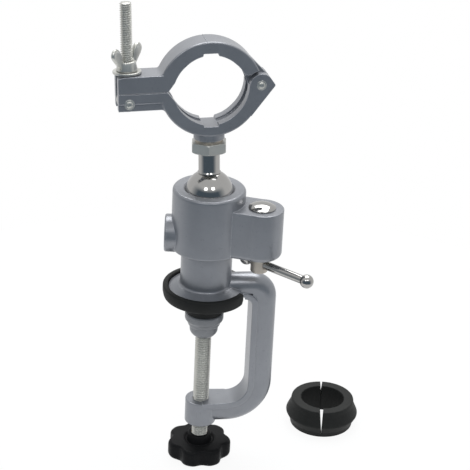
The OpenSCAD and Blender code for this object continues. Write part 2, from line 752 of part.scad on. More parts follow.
// Fillet between a lug face at height z and the round outside, of radius r, of the half
module lug_fillet(c, r, z, s) {
  rise = abs(z - c[1]) + lug_fillet_r;
  reach = r + lug_fillet_r;
  fx = -sqrt(reach * reach - rise * rise);
  fz = z + s * lug_fillet_r;
  touch_point = c + r / reach * ([fx, fz] - c);
  slab(ring_w - 2 * ring_edge_r) difference() {
    polygon([[fx, fz], [fx, z], [fx + 2 * lug_fillet_r, z], touch_point]);
    translate([fx, fz]) circle(r = lug_fillet_r);
  }
}
module bolt_slot(z0, z1) {
  // open at the lug ends, round at the closed end
  r = slot_w / 2;
  translate([-slot_x - r, 0, z0]) cylinder(r = r, h = z1 - z0);
  translate([-lug_x - cut, -r, z0]) cube([lug_x + cut - slot_x - r, slot_w, z1 - z0]);
}
module ear_outline() {
  toe = hinge + [ear_toe - ear_toe_r, -ear_gap];
  a1 = touch_angle(hinge, ear_r, toe, ear_toe_r, 1);
  a2 = touch_angle(toe, ear_toe_r, low_c, ring_r, 1) - 360;
  polygon(concat([low_c], arc(hinge, ear_r, ear_back, a1), arc(toe, ear_toe_r, a1, a2),
    [at_angle(low_c, ring_r, a2)]));
}
module ring_lower() {
  color(casting) ring_place() difference() {
    union() {
      difference() {
        ring_blank(low_c, ring_r);
        translate([-2 * ring_r, -ring_w, 0]) cube([4 * ring_r, 2 * ring_w, 2 * ring_r]);
      }
      // lug with a ledge along its foot
      translate([-lug_x, -half_w, step_z]) cube([lug_x - bore_r, ring_w, -step_z]);
      translate([-lug_x, step_t - half_w, lug_low]) cube([lug_x - bore_r, ring_w - 2 * step_t, -lug_low]);
      lug_fillet(low_c, ring_r, lug_low, -1);
      for (s = [-1, 1]) translate([0, s * (half_w + ear_inner) / 2, 0])
        slab(half_w - ear_inner) ear_outline();
      // boss over the neck
      bar(ring_boss_d, ring_boss_z - ring_h, bore_drop - (groove_r + ring_r) / 2);
    }
    ring_bore(low_c, -1);
    bolt_slot(lug_low - cut, cut);
    cross_bar([-bolt_x, -bolt_pin_z], bolt_pin_d + 2 * run_gap, ring_w + 2 * cut);
    // room for the tongue and the bore of the hinge
    cross_bar(hinge, 2 * ear_clear_r + split_gap, 2 * ear_inner);
    cross_bar(hinge, hinge_pin_d + 2 * run_gap, ring_w + 2 * cut);
    translate([0, 0, ring_boss_z - ring_h - cut])
      cylinder(d = stud_d + 2 * run_gap, h = stud_end_h + soft_gap - ring_boss_z + cut);
  }
}
module ring_upper() {
  tongue_root = at_angle(hinge, ear_clear_r, tongue_back);
  a = touch_angle(up_c, up_ring_r, hinge, tongue_r, 1);
  color(casting) ring_place() difference() {
    union() {
      difference() {
        ring_blank(up_c, up_ring_r);
        translate([-2 * up_ring_r, -ring_w, split_gap - 2 * up_ring_r])
          cube([4 * up_ring_r, 2 * ring_w, 2 * up_ring_r]);
        // full depth ends clear of the ears
        cross_bar(hinge, 2 * ear_clear_r, ring_w + 2 * cut);
        slab(ring_w + 2 * cut) polygon([[bore_r / 2, split_gap - cut], [bore_r / 2, tongue_root[1]],
          [up_ring_r + cut, tongue_root[1]], [up_ring_r + cut, split_gap - cut]]);
      }
      difference() {
        translate([-lug_x, -half_w, split_gap]) cube([lug_x - bore_r, ring_w, lug_h]);
        // end of the lug rounded about the cross pin, so that the bolt swings out
        difference() {
          translate([-lug_x - cut, -ring_w, split_gap]) cube([lug_x + cut - bolt_x, 2 * ring_w, 2 * lug_h]);
          cross_bar([-bolt_x, -bolt_pin_z], 2 * relief_r, 3 * ring_w);
        }
      }
      lug_fillet(up_c, up_ring_r, lug_top, 1);
      // tongue of the hinge
      cross_bar(hinge, 2 * tongue_r, tongue_w);
      slab(tongue_w) polygon([[bore_r / 2, split_gap], at_angle(up_c, bore_r, a),
        at_angle(up_c, up_ring_r, a), at_angle(hinge, tongue_r, a), hinge, [hinge_x, split_gap]]);
    }
    ring_bore(up_c, 1);
    bolt_slot(split_gap - cut, lug_top + cut);
    cross_bar(hinge, hinge_pin_d + 2 * run_gap, ring_w + 2 * cut);
  }
}
module hinge_pin() {
  color(bright) ring_place() cross_bar(hinge, hinge_pin_d, ring_w - 2 * face_gap);
}
module bolt_pin() {
  color(bright) ring_place() cross_bar([-bolt_x, -bolt_pin_z], bolt_pin_d, ring_w - 2 * face_gap);
}
module bolt_place() {
  ring_place() translate([-bolt_x, 0, -bolt_pin_z]) children();
}
module swing_bolt() {
  color(bright) bolt_place() difference() {
    union() {
      cross_bar([0, 0], eye_d, eye_w);
      bar(bolt_d, eye_d / 4, bolt_l - edge);
      translate([0, 0, bolt_l - edge]) cylinder(d1 = bolt_d, d2 = bolt_d - 2 * edge, h = edge);
    }
    cross_bar([0, 0], bolt_pin_d + 2 * run_gap, eye_w + 2 * cut);
  }
}
module flat_washer() {
  color(bright) bolt_place() difference() {
    turned(washer_d / 2, washer_lift, washer_lift + washer_h, edge / 2, edge / 2);
    bar(bolt_d + 2 * run_gap, washer_lift - cut, washer_lift + washer_h + cut);
  }
}
module wing_outline() {
  lobe = [wing_span / 2 - wing_lobe_r, wing_h - wing_lobe_r];
  translate(lobe) circle(r = wing_lobe_r);
  foot = [wing_hub_d / 2 - edge, wing_foot];
  crotch = [bolt_d / 2, wing_hub_h];
  polygon([[0, wing_foot], foot, at_angle(lobe, wing_lobe_r, touch_angle(foot, 0, lobe, wing_lobe_r, -1)),
    lobe, at_angle(lobe, wing_lobe_r, touch_angle(crotch, 0, lobe, wing_lobe_r, 1)), crotch,
    [0, wing_hub_h]]);
}
module wing_nut() {
  color(bright) bolt_place() translate([0, 0, nut_lift]) rotate([0, 0, wing_turn]) difference() {
    union() {
      cylinder(d1 = wing_hub_d, d2 = wing_hub_d - 4 * edge, h = wing_hub_h);
      for (a = [0, 180]) rotate([0, 0, a]) slab(wing_t) wing_outline();
    }
    bar(bolt_d + 2 * run_gap, -cut, wing_h + cut);
  }
}

module reducing_bush() {
  color(rubber) translate([bush_x, bush_y, bush_z]) rotate([0, 0, bush_turn]) difference() {
    rotate_extrude() polygon([[bush_bore_r, 0], [bush_end_r, 0], [bush_band_r, bush_band_h],
      [bush_rib_r, bush_h / 2 - edge / 2], [bush_rib_r, bush_h / 2 + edge / 2],
      [bush_band_r, bush_h - bush_band_h], [bush_end_r, bush_h], [bush_bore_r, bush_h]]);
    // two slits, open at the top face and closed near the lower face
    slab(4 * bush_rib_r) polygon([[-slit_w / 2, bush_h + cut], [slit_w / 2, bush_h + cut],
      [slit_w / 8, bush_band_h / 2], [-slit_w / 8, bush_band_h / 2]]);
  }
}

clamp_frame();
jaw_pad();
screw_foot();
foot_cap();
foot_clip();
clamp_screw();
knob();
knob_insert();
swivel_body();
retaining_plug();
ball_seat();
ball_stud();
lock_nut();
lock_washer();
wedge_plunger();
lock_shaft();
shaft_dome();
shaft_clip();
lever_bar();
lever_balls();
ring_lower();
ring_upper();
hinge_pin();
bolt_pin();
swing_bolt();
flat_washer();
wing_nut();
reducing_bush();
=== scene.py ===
"""Looks of a small table-clamp vise: its finishes, threads, grips and rubber parts.

Every piece is worked out in the row frame, in metres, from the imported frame's boxes and joints.
"""
import json
import math

import bmesh
import bpy
import numpy as np
from bpy.props import FloatProperty, FloatVectorProperty, IntProperty, PointerProperty
from mathutils import Matrix, Vector


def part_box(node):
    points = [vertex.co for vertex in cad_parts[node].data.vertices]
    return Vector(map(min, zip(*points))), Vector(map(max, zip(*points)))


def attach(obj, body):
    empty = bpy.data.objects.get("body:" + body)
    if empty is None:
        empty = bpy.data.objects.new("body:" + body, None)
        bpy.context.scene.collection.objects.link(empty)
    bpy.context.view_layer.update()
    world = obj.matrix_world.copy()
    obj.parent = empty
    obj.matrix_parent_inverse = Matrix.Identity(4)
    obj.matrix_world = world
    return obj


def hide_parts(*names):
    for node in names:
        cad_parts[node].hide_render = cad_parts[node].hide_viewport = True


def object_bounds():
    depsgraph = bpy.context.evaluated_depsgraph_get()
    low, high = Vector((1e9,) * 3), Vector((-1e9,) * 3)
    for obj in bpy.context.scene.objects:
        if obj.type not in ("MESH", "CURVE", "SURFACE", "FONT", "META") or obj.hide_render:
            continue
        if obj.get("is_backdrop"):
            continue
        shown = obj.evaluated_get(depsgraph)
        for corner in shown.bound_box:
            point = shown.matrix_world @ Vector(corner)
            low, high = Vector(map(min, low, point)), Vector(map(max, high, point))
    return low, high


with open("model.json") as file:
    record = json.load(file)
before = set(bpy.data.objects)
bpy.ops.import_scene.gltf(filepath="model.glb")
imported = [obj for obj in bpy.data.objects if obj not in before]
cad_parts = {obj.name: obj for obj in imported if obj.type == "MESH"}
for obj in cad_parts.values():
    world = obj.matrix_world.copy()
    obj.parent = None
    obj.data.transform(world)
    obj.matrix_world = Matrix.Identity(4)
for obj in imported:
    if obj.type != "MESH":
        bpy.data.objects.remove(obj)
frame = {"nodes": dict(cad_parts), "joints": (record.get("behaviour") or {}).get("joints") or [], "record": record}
NODES = frame["nodes"]
JOINTS = {j["name"]: j for j in frame["joints"]}
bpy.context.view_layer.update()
MM = 0.001
TAU = 2 * math.pi

bl_info = {
    "name": "Swivel vise looks",
    "version": (1, 0, 0),
    "blender": (4, 5, 0),
    "location": "View3D > Sidebar > Vise",
    "description": "Builds the finishes, threads, grips and rubber parts of a small swivel vise",
    "category": "Object",
}


def distance(name, text, value):
    """A length property: given here in millimetres, and kept in metres."""
    return FloatProperty(name=name, description=text, default=value * MM, min=0, precision=5,
                         unit="LENGTH")


def colour(name, text, value):
    """A colour property in linear light."""
    return FloatVectorProperty(name=name, description=text, subtype="COLOR", size=3, min=0, max=1,
                               default=value)


class ViseSizes(bpy.types.PropertyGroup):
    """Sizes of the detail that the looks add"""
    screw_pitch: distance("Screw pitch", "Pitch of the clamp screw", 1.5875)
    bolt_pitch: distance("Bolt pitch", "Pitch of the swing bolt", 1.27)
    thread_share: FloatProperty(name="Thread depth", description="Depth of a thread as a share of its pitch",
                                default=0.62, min=0.3, max=0.65, subtype="FACTOR")
    lobes: IntProperty(name="Knob lobes", description="Number of lobes on the knob", default=7, min=5, max=9)
    hollow: distance("Knob hollow", "Depth of the hollows of the knob", 2.8)
    knob_radius: distance("Knob radius", "Radius of the knob over its lobes", 19.3)
    wing_thick: distance("Wing thickness", "Thickness of the wings", 2.6)
    cap_foot: distance("Cap foot", "Depth of the foot's black cap under the jaw face", 9.9)
    slit: distance("Bush slit", "Width of the bush's front slit at the top", 2.1)
    back_slit: distance("Back slit", "Width of the bush's back slit at the top", 1.3)


class ViseColours(bpy.types.PropertyGroup):
    """Base colours of the finishes"""
    casting: colour("Casting", "Lacquered casting", (0.262, 0.270, 0.290))
    zinc: colour("Zinc", "Zinc plate on the screws and nuts", (0.57, 0.57, 0.535))
    shaft: colour("Shaft", "Plain turned steel", (0.47, 0.43, 0.38))
    foot: colour("Foot", "Turned aluminium of the foot", (0.21, 0.215, 0.225))
    chrome: colour("Chrome", "Polished chrome plate", (0.40, 0.395, 0.385))
    brass: colour("Brass", "Brass of the knob's insert", (0.60, 0.42, 0.16))
    rubber: colour("Rubber", "Black rubber", (0.0125, 0.0132, 0.0125))
    plastic: colour("Plastic", "Black moulded plastic", (0.0115, 0.0115, 0.012))


def sizes():
    """The sizes as the user has set them."""
    return bpy.context.scene.vise_sizes


# Shader groups

def new_group(name, inputs, outputs):
    """An empty shader group with its sockets; each input is (name, type, default)."""
    group = bpy.data.node_groups.new(name, "ShaderNodeTree")
    for label, kind, value in inputs:
        socket = group.interface.new_socket(label, in_out="INPUT", socket_type=kind)
        if value is not None:
            socket.default_value = value
    for label, kind in outputs:
        group.interface.new_socket(label, in_out="OUTPUT", socket_type=kind)
    return group, group.nodes.new("NodeGroupInput"), group.nodes.new("NodeGroupOutput")


def maths(tree, operation, a, b, c=None):
    """A Math node; each operand is a number or a socket."""
    node = tree.nodes.new("ShaderNodeMath")
    node.operation = operation
    for slot, value in zip(node.inputs, (a, b, c)):
        if isinstance(value, (int, float)):
            slot.default_value = value
        elif value is not None:
            tree.links.new(value, slot)
    return node.outputs[0]


def mix_colours(tree, factor, a, b):
    """A colour Mix node; each of the two colours is a socket or three numbers."""
    node = tree.nodes.new("ShaderNodeMix")
    node.data_type = "RGBA"
    tree.links.new(factor, node.inputs["Factor"])
    for label, value in (("A", a), ("B", b)):
        if isinstance(value, bpy.types.NodeSocket):
            tree.links.new(value, node.inputs[label])
        else:
            node.inputs[label].default_value = (*value, 1)
    return node.outputs["Result"]


def group_node(tree, name):
    """A node that holds one of the shader groups."""
    node = tree.nodes.new("ShaderNodeGroup")
    node.node_tree = bpy.data.node_groups[name]
    return node


def shaded(base, share):
    """The base colour made lighter by a share of itself, or darker where the share is negative."""
    return tuple(min(1, c * (1 + share)) for c in base)


def noise(tree, vector, scale, detail, rough=0.55):
    """The factor of a Noise Texture, whose scale is a number or a socket."""
    node = tree.nodes.new("ShaderNodeTexNoise")
    node.inputs["Detail"].default_value = detail
    node.inputs["Roughness"].default_value = rough
    tree.links.new(vector, node.inputs["Vector"])
    if isinstance(scale, (int, float)):
        node.inputs["Scale"].default_value = scale
    else:
        tree.links.new(scale, node.inputs["Scale"])
    return node.outputs["Fac"]


def grain_group():
    """Fine grain and broad mottling: two noises on one scale, spread round their middle."""
    group, given, out = new_group(
        "surface_grain",
        [("Vector", "NodeSocketVector", None), ("Scale", "NodeSocketFloat", 1200.0)],
        [("Fine", "NodeSocketFloat"), ("Broad", "NodeSocketFloat"), ("Specks", "NodeSocketFloat")])
    vector, scale = given.outputs["Vector"], given.outputs["Scale"]
    # scales of mottling and specks as shares of the grain's, and the noise over which a speck shows
    broad_share, speck_share, speck_level = 0.045, 0.35, 0.67
    gain, lift = 2.2, -0.6
    group.links.new(noise(group, vector, scale, 4), out.inputs["Fine"])
    broad = noise(group, vector, maths(group, "MULTIPLY", scale, broad_share), 5, 0.6)
    spread = maths(group, "MULTIPLY_ADD", broad, gain, lift)
    group.links.new(spread, out.inputs["Broad"])
    specks = noise(group, vector, maths(group, "MULTIPLY", scale, speck_share), 2)
    group.links.new(maths(group, "GREATER_THAN", specks, speck_level), out.inputs["Specks"])
    return group


MARKS_SQUEEZE = 60


def marks_group():
    """Turning marks: noise squeezed flat along one axis, so that it reads as fine rings."""
    group, given, out = new_group(
        "turning_marks",
        [("Vector", "NodeSocketVector", None), ("Scale", "NodeSocketFloat", 60.0)],
        [("Rings", "NodeSocketFloat")])
    squeeze = group.nodes.new("ShaderNodeMapping")
    squeeze.inputs["Scale"].default_value = (1, 1, MARKS_SQUEEZE)
    group.links.new(given.outputs["Vector"], squeeze.inputs["Vector"])
    rings = noise(group, squeeze.outputs["Vector"], given.outputs["Scale"], 3)
    group.links.new(rings, out.inputs["Rings"])
    return group


def edge_group():
    """Edges: the bevelled normal, and a mask of one less its dot product with the true normal, which marks where
    the finishes paint a highlight on the edges.
    """
    group, given, out = new_group(
        "worn_edges",
        [("Radius", "NodeSocketFloat", 0.0006), ("Contrast", "NodeSocketFloat", 5.0)],
        [("Mask", "NodeSocketFloat"), ("Normal", "NodeSocketVector")])
    bevel = group.nodes.new("ShaderNodeBevel")
    bevel.samples = 6
    group.links.new(given.outputs["Radius"], bevel.inputs["Radius"])
    true = group.nodes.new("ShaderNodeNewGeometry").outputs["Normal"]
    dot = group.nodes.new("ShaderNodeVectorMath")
    dot.operation = "DOT_PRODUCT"
    group.links.new(bevel.outputs["Normal"], dot.inputs[0])
    group.links.new(true, dot.inputs[1])
    away = maths(group, "SUBTRACT", 1.0, dot.outputs["Value"])
    mask = maths(group, "MULTIPLY", away, given.outputs["Contrast"])
    group.links.new(maths(group, "MINIMUM", mask, 1.0), out.inputs["Mask"])
    group.links.new(bevel.outputs["Normal"], out.inputs["Normal"])
    return group


ROUGH_SWING = 0.16
GRAIN_DEPTH = 0.1 * MM


def finish(name, colour_name, metallic, rough, scale, bump, spread=0.12, speck=0.0, marks=0.0, gloss=0.5,
           edge=0.0):
    """A finish: a base colour that varies by the grain and is lighter at the edges as a painted highlight, with
    its roughness and bump.
    """
    base = tuple(getattr(bpy.context.scene.vise_colours, colour_name))
    # the plain material that came with the frame gives its name up
    plain = bpy.data.materials.get(name)
    if plain:
        plain.name = "plain_" + name
    mat = bpy.data.materials.new(name)
    mat.use_nodes = True
    tree = mat.node_tree
    bsdf = tree.nodes["Principled BSDF"]
    place = tree.nodes.new("ShaderNodeTexCoord").outputs["Object"]
    grain = group_node(tree, "surface_grain")
    grain.inputs["Scale"].default_value = scale
    tree.links.new(place, grain.inputs["Vector"])
    bevel_highlight = group_node(tree, "worn_edges")
    tone = mix_colours(tree, grain.outputs["Broad"], shaded(base, -spread), shaded(base, spread))
    if speck:
        tone = mix_colours(tree, grain.outputs["Specks"], tone, shaded(base, -speck))
    # painted highlight: the edges are made lighter by the edge share, standing in for light caught on them
    if edge:
        tone = mix_colours(tree, bevel_highlight.outputs["Mask"], tone, shaded(base, edge))
    tree.links.new(tone, bsdf.inputs["Base Color"])
    height = grain.outputs["Fine"]
    if marks:
        turning = group_node(tree, "turning_marks")
        tree.links.new(place, turning.inputs["Vector"])
        height = maths(tree, "MULTIPLY_ADD", turning.outputs["Rings"], marks, height)
    rough_out = maths(tree, "MULTIPLY_ADD", grain.outputs["Fine"], ROUGH_SWING, rough - ROUGH_SWING / 2)
    tree.links.new(rough_out, bsdf.inputs["Roughness"])
    relief = tree.nodes.new("ShaderNodeBump")
    relief.inputs["Strength"].default_value = bump
    relief.inputs["Distance"].default_value = GRAIN_DEPTH
    tree.links.new(height, relief.inputs["Height"])
    tree.links.new(bevel_highlight.outputs["Normal"], relief.inputs["Normal"])
    tree.links.new(relief.outputs["Normal"], bsdf.inputs["Normal"])
    bsdf.inputs["Metallic"].default_value = metallic
    bsdf.inputs["Specular IOR Level"].default_value = gloss
    return mat


# edge is the share by which a finish's edges are made lighter: a painted highlight
FINISHES = {
    "casting": dict(colour_name="casting", metallic=0.45, rough=0.31, scale=1500, bump=0.14, spread=0.07,
                    speck=0.08, edge=0.9),
    "zinc_steel": dict(colour_name="zinc", metallic=0.8, rough=0.32, scale=1800, bump=0.12, marks=0.3,
                       edge=0.1),
    "shaft_steel": dict(colour_name="shaft", metallic=0.85, rough=0.38, scale=1600, bump=0.2, marks=0.8,
                        edge=0.3),
    "foot_metal": dict(colour_name="foot", metallic=0.35, rough=0.42, scale=1500, bump=0.15, marks=0.8,
                       edge=0.3),
    "chrome": dict(colour_name="chrome", metallic=1.0, rough=0.10, scale=900, bump=0.03, spread=0.04),
    "brass": dict(colour_name="brass", metallic=1.0, rough=0.3, scale=1500, bump=0.15, marks=0.6),
    "rubber": dict(colour_name="rubber", metallic=0.0, rough=0.62, scale=1400, bump=0.35, spread=0.25,
                   edge=1.0, gloss=0.2),
    "knob_plastic": dict(colour_name="plastic", metallic=0.0, rough=0.42, scale=1700, bump=0.2, spread=0.2,
                         edge=1.5, gloss=0.06),
}


# Surfaces

MERGE_DISTANCE = 1e-6
SHARP_ANGLE = math.radians(40)


def add_piece(name, parts, slot, body, stands_for):
    """A mesh object from parts, each a (points, faces) pair, merged, closed and facing outwards."""
    points, faces, start = [], [], 0
    for part_points, part_faces in parts:
        points.append(part_points)
        faces.append(part_faces + start)
        start += len(part_points)
    mesh = bpy.data.meshes.new(name)
    mesh.from_pydata(np.concatenate(points).tolist(), [], np.concatenate(faces).tolist())
    work = bmesh.new()
    work.from_mesh(mesh)
    bmesh.ops.remove_doubles(work, verts=work.verts, dist=MERGE_DISTANCE)
    bmesh.ops.recalc_face_normals(work, faces=work.faces)
    work.to_mesh(mesh)
    work.free()
    mesh.polygons.foreach_set("use_smooth", [True] * len(mesh.polygons))
    mesh.set_sharp_from_angle(angle=SHARP_ANGLE)
    obj = bpy.data.objects.new(name, mesh)
    bpy.context.scene.collection.objects.link(obj)
    obj.data.materials.append(bpy.data.materials[slot])
    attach(obj, body)
    if stands_for:
        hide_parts(*stands_for)
    return obj


def quads(rows, cols, wrap_rows, wrap_cols):
    """Faces of a grid of points: each cell joins a point to its next along both parameters."""
    i = np.arange(rows if wrap_rows else rows - 1)[:, None]
    j = np.arange(cols if wrap_cols else cols - 1)[None, :]
    i2, j2 = (i + 1) % rows, (j + 1) % cols
    cell = [i * cols + j, i * cols + j2, i2 * cols + j2, i2 * cols + j]
    return np.stack([np.broadcast_to(c, (i.size, j.size)) for c in cell], -1).reshape(-1, 4)


def sheet_of(grid, wrap_rows=False, wrap_cols=False):
    """Points and faces of a grid with shape (rows, columns, 3)."""
    rows, cols = grid.shape[:2]
    return grid.reshape(-1, 3), quads(rows, cols, wrap_rows, wrap_cols)


def capped(grid, first, last):
    """A tube of points, closed at each end by a fan to one point."""
    ends = [np.broadcast_to(point, (1, grid.shape[1], 3)) for point in (first, last)]
    return sheet_of(np.concatenate([ends[0], grid, ends[1]]), wrap_cols=True)


def end_walls(grid):
    """The two flat ends of a swept ring: each end's loop of points, joined to its own middle."""
    loops = [grid[:-1, end] for end in (0, -1)]
    fans = [np.stack([loop, np.broadcast_to(loop.mean(0), loop.shape)]) for loop in loops]
    return [sheet_of(fan, wrap_cols=True) for fan in fans]


def circle(count):
    """Angles of one full turn, as a row."""
    return np.linspace(0, TAU, count, endpoint=False)[None, :]


def placed(part, origin, x_axis, y_axis, z_axis):
    """The part moved to an origin and turned to three axes."""
    points, faces = part
    return points @ np.array([x_axis, y_axis, z_axis], float) + np.array(origin, float), faces


def round_grid(radius, height, turns):
    """Revolve: a point at (r cos a, r sin a, z) for each radius and angle; radius may vary with the angle."""
    x, y = radius * np.cos(turns), radius * np.sin(turns)
    return np.stack([x, y, np.broadcast_to(height, x.shape)], -1)


def lathe(profile, count=96):
    """A profile of (radius, height) points carried round the Z axis."""
    profile = np.array(profile, float)
    turns = circle(count)
    return sheet_of(round_grid(profile[:, :1] + 0 * turns, profile[:, 1:], turns), wrap_cols=True)


def rounded(corners, steps=5):
    """A profile whose corners (radius, height, rounding) become arcs, by quadratic curves."""
    pts = np.array([c[:2] for c in corners], float)
    out = [pts[0]]
    for k in range(1, len(pts) - 1):
        before, here, after = pts[k - 1], pts[k], pts[k + 1]
        reach = corners[k][2]
        if not reach:
            out.append(here)
            continue
        a = here + (before - here) / np.linalg.norm(before - here) * reach
        b = here + (after - here) / np.linalg.norm(after - here) * reach
        t = np.linspace(0, 1, steps)[:, None]
        out.extend((1 - t) ** 2 * a + 2 * t * (1 - t) * here + t ** 2 * b)
    out.append(pts[-1])
    return np.array(out)


def thread(radius, pitch, low, high, chamfer, count=48, per_turn=10):
    """A threaded rod. The radius falls from the crest by a blunt triangle wave of height less angle."""
    share = sizes().thread_share
    # slope of the flanks, width of the flat crest and slope of the chamfered ends
    flank, crest, cone = 1.35, 0.15, 1.2
    z = np.arange(low, high, pitch / per_turn)[:, None]
    turns = circle(count)
    phase = (z / pitch - turns / TAU) % 1
    wave = np.clip(np.abs(2 * phase - 1) * flank - crest, 0, 1)
    r = radius - pitch * share * wave
    limit = radius - chamfer + np.minimum(z - low, high - z) * cone
    r = np.minimum(r, limit)
    return capped(round_grid(r, z, turns), [0, 0, z[0, 0]], [0, 0, z[-1, 0]])


def blade(outline, thickness, steps=9):
    """A flat plate with a round edge: the outline in X and Z, drawn in towards its middle at both faces."""
    outline = np.array(outline, float)
    mid = outline.mean(0)
    half = thickness / 2
    t = np.linspace(-math.pi / 2, math.pi / 2, steps)[:, None]
    reach = np.linalg.norm(outline - mid, axis=1).mean()
    inset = 1 - (1 - np.cos(t)) * half / reach
    x = mid[0] + (outline[:, 0] - mid[0]) * inset
    z = mid[1] + (outline[:, 1] - mid[1]) * inset
    y = np.broadcast_to(half * np.sin(t), x.shape)
    return capped(np.stack([x, y, z], -1), [mid[0], -half, mid[1]], [mid[0], half, mid[1]])


def smooth_loop(corners, count=72):
    """A closed curve through a few corners, by Catmull-Rom blending."""
    p = np.array(corners, float)
    n = len(p)
    u = np.linspace(0, n, count, endpoint=False)
    k = u.astype(int)
    t = (u - k)[:, None]
    a, b, c, d = (p[(k + s) % n] for s in (-1, 0, 1, 2))
    square, cube = 2 * a - 5 * b + 4 * c - d, 3 * b - a - 3 * c + d
    return 0.5 * (2 * b + (c - a) * t + square * t ** 2 + cube * t ** 3)


def ring_axes():
    """Axes of the ring: along the lugs, along the bore and along the neck."""
    bore = np.array(JOINTS["bolt_swing"]["axis"], float)
    neck = np.array(JOINTS["washer_slide"]["axis"], float)
    return np.cross(bore, neck), bore, neck


class MaterialsOp(bpy.types.Operator):
    """Make every finish and give each carried-over piece its own"""
    bl_idname = "vise.finishes"
    bl_label = "Finishes"

    def execute(self, context):
        grain_group()
        marks_group()
        edge_group()
        for slot, look in FINISHES.items():
            finish(slot, **look)
        slots = {s["node"]: s["material_slot"] for s in frame["record"]["subparts"]}
        for node, obj in NODES.items():
            obj.data.materials.clear()
            obj.data.materials.append(bpy.data.materials[slots[node]])
        return {"FINISHED"}


class ScrewOp(bpy.types.Operator):
    """Cut the thread of the clamp screw"""
    bl_idname = "vise.clamp_screw"
    bl_label = "Clamp screw"

    def execute(self, context):
        low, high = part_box("clamp_screw")
        radius, chamfer = (high.x - low.x) / 2, 0.9 * MM
        part = thread(radius, sizes().screw_pitch, low.z, high.z, chamfer)
        add_piece("screw_thread", [part], "zinc_steel", "screw", ["clamp_screw"])
        return {"FINISHED"}


class BoltOp(bpy.types.Operator):
    """Make the swing bolt: a rounded eye with a threaded shank"""
    bl_idname = "vise.swing_bolt"
    bl_label = "Swing bolt"

    def execute(self, context):
        x_axis, y_axis, z_axis = ring_axes()
        origin = JOINTS["bolt_swing"]["pos_m"]
        eye_r, hole_r, half, edge = (v * MM for v in (6, 2.55, 3.1, 0.6))
        shank_r, reach, chamfer = (v * MM for v in (3.35, 55.4, 0.5))
        # the shank starts within the eye, at this share of its radius
        root_share = 0.8
        # the eye is a closed profile round its own axis
        profile = rounded([(hole_r, 0, 0), (hole_r, -half, edge), (eye_r, -half, edge),
                           (eye_r, half, edge), (hole_r, half, edge), (hole_r, 0, 0)])
        points, faces = lathe(profile)
        eye = points[:, [0, 2, 1]], faces
        shank = thread(shank_r, sizes().bolt_pitch, eye_r * root_share, reach, chamfer, count=40)
        parts = [placed(part, origin, x_axis, y_axis, z_axis) for part in (eye, shank)]
        add_piece("swing_bolt_thread", parts, "zinc_steel", "bolt", ["swing_bolt"])
        return {"FINISHED"}


class WingNutOp(bpy.types.Operator):
    """Make the wing nut: a tapered hub with a bore and two flared wings"""
    bl_idname = "vise.wing_nut"
    bl_label = "Wing nut"

    def execute(self, context):
        x_axis, y_axis, z_axis = ring_axes()
        # the nut stands at this turn from the lugs, and at this height over the bolt's pin
        turn, seat = math.radians(45), 17.25 * MM
        x_wing = math.cos(turn) * x_axis + math.sin(turn) * y_axis
        y_wing = np.cross(z_axis, x_wing)
        foot = np.array(JOINTS["bolt_swing"]["pos_m"]) + seat * z_axis
        bore, base, waist, neck, height = 3.25, 6.0, 5.7, 4.9, 5.5
        hub = rounded([(bore, 3, 0), (bore, 0, 0.3), (base, 0, 0.5), (waist, 1.6, 0.8), (neck, height, 0.7),
                       (bore, height, 0.3), (bore, 3, 0)]) * MM
        wing = smooth_loop([(3.4, 0.9), (5.4, 1.0), (8.8, 4.6), (12.0, 8.3), (12.9, 10.8), (11.6, 13.2),
                            (9.4, 13.9), (7.0, 12.6), (5.2, 9.2), (4.3, 6.2), (3.4, 4.6)]) * MM
        parts = [lathe(hub)]
        for side in (1, -1):
            points, faces = blade(wing, sizes().wing_thick)
            parts.append((points * [side, side, 1], faces))
        parts = [placed(part, foot, x_wing, y_wing, z_axis) for part in parts]
        add_piece("wing_nut_cast", parts, "zinc_steel", "wing", ["wing_nut"])
        return {"FINISHED"}


class PinsOp(bpy.types.Operator):
    """Turn the two pins of the ring, whose peened buttons stand on flat rims"""
    bl_idname = "vise.pins"
    bl_label = "Pins"

    def execute(self, context):
        x_axis, y_axis, z_axis = ring_axes()
        # half lengths to the rim's chamfer, the rim, the button's shoulder and its top; then its radii
        start, rim, shoulder, top = 8.0, 9.1, 9.5, 9.95
        button, crown = 1.85, 1.7
        for node, joint, radius in (("hinge_pin", "ring_open", 2.8), ("bolt_pin", "bolt_swing", 2.9)):
            head = [(radius, start, 0.3), (radius, rim, 0.15), (button, rim, 0.1), (crown, shoulder, 0.35),
                    (0, top, 0)]
            foot = [(r, -z, e) for r, z, e in reversed(head)]
            profile = rounded(foot + head) * MM
            pin = placed(lathe(profile, count=64), JOINTS[joint]["pos_m"], x_axis, -z_axis, y_axis)
            add_piece(node + "_peened", [pin], "zinc_steel", "ring", [node])
        return {"FINISHED"}


